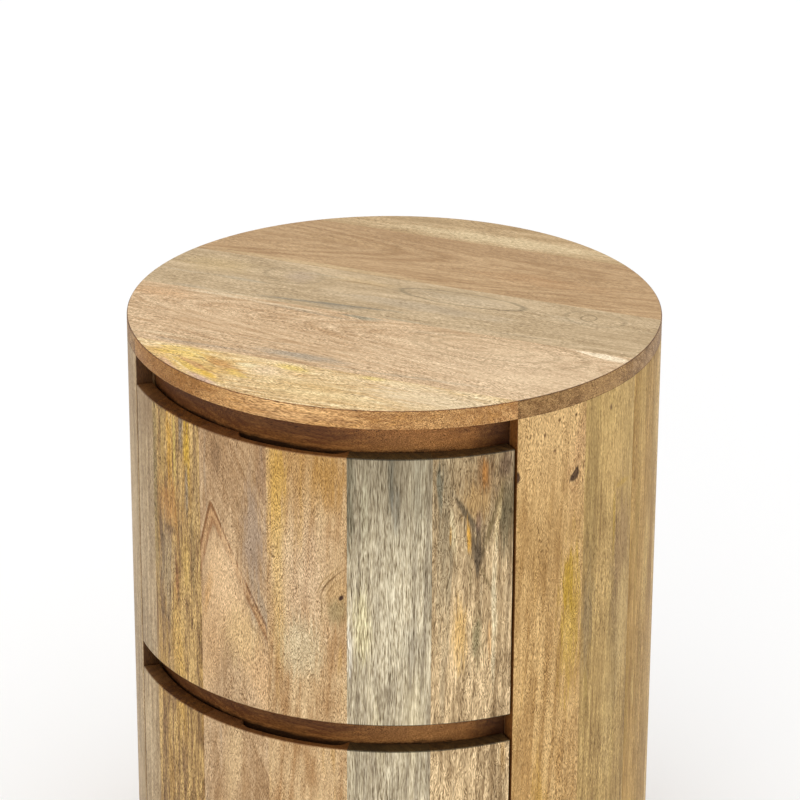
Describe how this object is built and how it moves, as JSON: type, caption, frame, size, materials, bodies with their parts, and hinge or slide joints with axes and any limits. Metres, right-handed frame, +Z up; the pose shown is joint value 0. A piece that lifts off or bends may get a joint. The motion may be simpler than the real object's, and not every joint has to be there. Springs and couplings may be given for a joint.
{
  "type": "round nightstand",
  "caption": "Round stave-built wooden nightstand with curved drawers pulled by finger gaps, on telescopic slides.",
  "frame": {"origin": "centre of the base's underside, on the floor", "axes": "+Z up, -Y to the front where the drawers open, +X to the right of someone facing the front"},
  "size_m": [0.45, 0.45, 0.56],
  "materials": {
    "top_wood": "satin clear coat on mixed planks",
    "wall_wood": "satin clear coat on mixed staves",
    "front_wood": "satin clear coat on mixed staves",
    "inner_wood": "stained, low sheen",
    "box_wood": "sanded, oiled",
    "bottom_ply": "sanded plywood",
    "slide_steel": "zinc plated"
  },
  "bodies": {
    "cabinet": {"top_plank_1": "top_wood", "top_plank_2": "top_wood", "top_plank_3": "top_wood", "top_plank_4": "top_wood", "top_plank_5": "top_wood", "base_panel": "wall_wood", "wall_stave_01": "wall_wood", "wall_stave_02": "wall_wood", "wall_stave_03": "wall_wood", "wall_stave_04": "wall_wood", "wall_stave_05": "wall_wood", "wall_stave_06": "wall_wood", "wall_stave_07": "wall_wood", "wall_stave_08": "wall_wood", "wall_stave_09": "wall_wood", "wall_stave_10": "wall_wood", "wall_stave_11": "wall_wood", "wall_stave_12": "wall_wood", "wall_stave_13": "wall_wood", "wall_stave_14": "wall_wood", "wall_stave_15": "wall_wood", "top_rail": "inner_wood", "middle_rail": "inner_wood", "left_side_panel": "inner_wood", "right_side_panel": "inner_wood", "upper_left_slide_cabinet": "slide_steel", "upper_right_slide_cabinet": "slide_steel", "lower_left_slide_cabinet": "slide_steel", "lower_right_slide_cabinet": "slide_steel"},
    "upper_drawer": {"upper_drawer_front_stave_1": "front_wood", "upper_drawer_front_stave_2": "front_wood", "upper_drawer_front_stave_3": "front_wood", "upper_drawer_front_stave_4": "front_wood", "upper_drawer_front_stave_5": "front_wood", "upper_drawer_front_stave_6": "front_wood", "upper_drawer_left_side": "box_wood", "upper_drawer_right_side": "box_wood", "upper_drawer_back": "box_wood", "upper_drawer_bottom": "bottom_ply", "upper_left_slide_drawer": "slide_steel", "upper_right_slide_drawer": "slide_steel"},
    "upper_slide_middles": {"upper_left_slide_middle": "slide_steel", "upper_right_slide_middle": "slide_steel"},
    "lower_drawer": {"lower_drawer_front_stave_1": "front_wood", "lower_drawer_front_stave_2": "front_wood", "lower_drawer_front_stave_3": "front_wood", "lower_drawer_front_stave_4": "front_wood", "lower_drawer_front_stave_5": "front_wood", "lower_drawer_front_stave_6": "front_wood", "lower_drawer_left_side": "box_wood", "lower_drawer_right_side": "box_wood", "lower_drawer_back": "box_wood", "lower_drawer_bottom": "bottom_ply", "lower_left_slide_drawer": "slide_steel", "lower_right_slide_drawer": "slide_steel"},
    "lower_slide_middles": {"lower_left_slide_middle": "slide_steel", "lower_right_slide_middle": "slide_steel"}
  },
  "joints": [
    {"name": "upper_drawer_slide", "type": "slide", "parent": "cabinet", "child": "upper_drawer", "axis": [0, -1, 0], "range_m": [0, 0.23]},
    {"name": "lower_drawer_slide", "type": "slide", "parent": "cabinet", "child": "lower_drawer", "axis": [0, -1, 0], "range_m": [0, 0.23]},
    {"name": "upper_middles_slide", "type": "slide", "parent": "cabinet", "child": "upper_slide_middles", "axis": [0, -1, 0], "range_m": [0, 0.115]},
    {"name": "lower_middles_slide", "type": "slide", "parent": "cabinet", "child": "lower_slide_middles", "axis": [0, -1, 0], "range_m": [0, 0.115]}
  ],
  "couplings": [
    {"joint": "upper_middles_slide", "follows": "upper_drawer_slide", "ratio": 0.5},
    {"joint": "lower_middles_slide", "follows": "lower_drawer_slide", "ratio": 0.5}
  ]
}
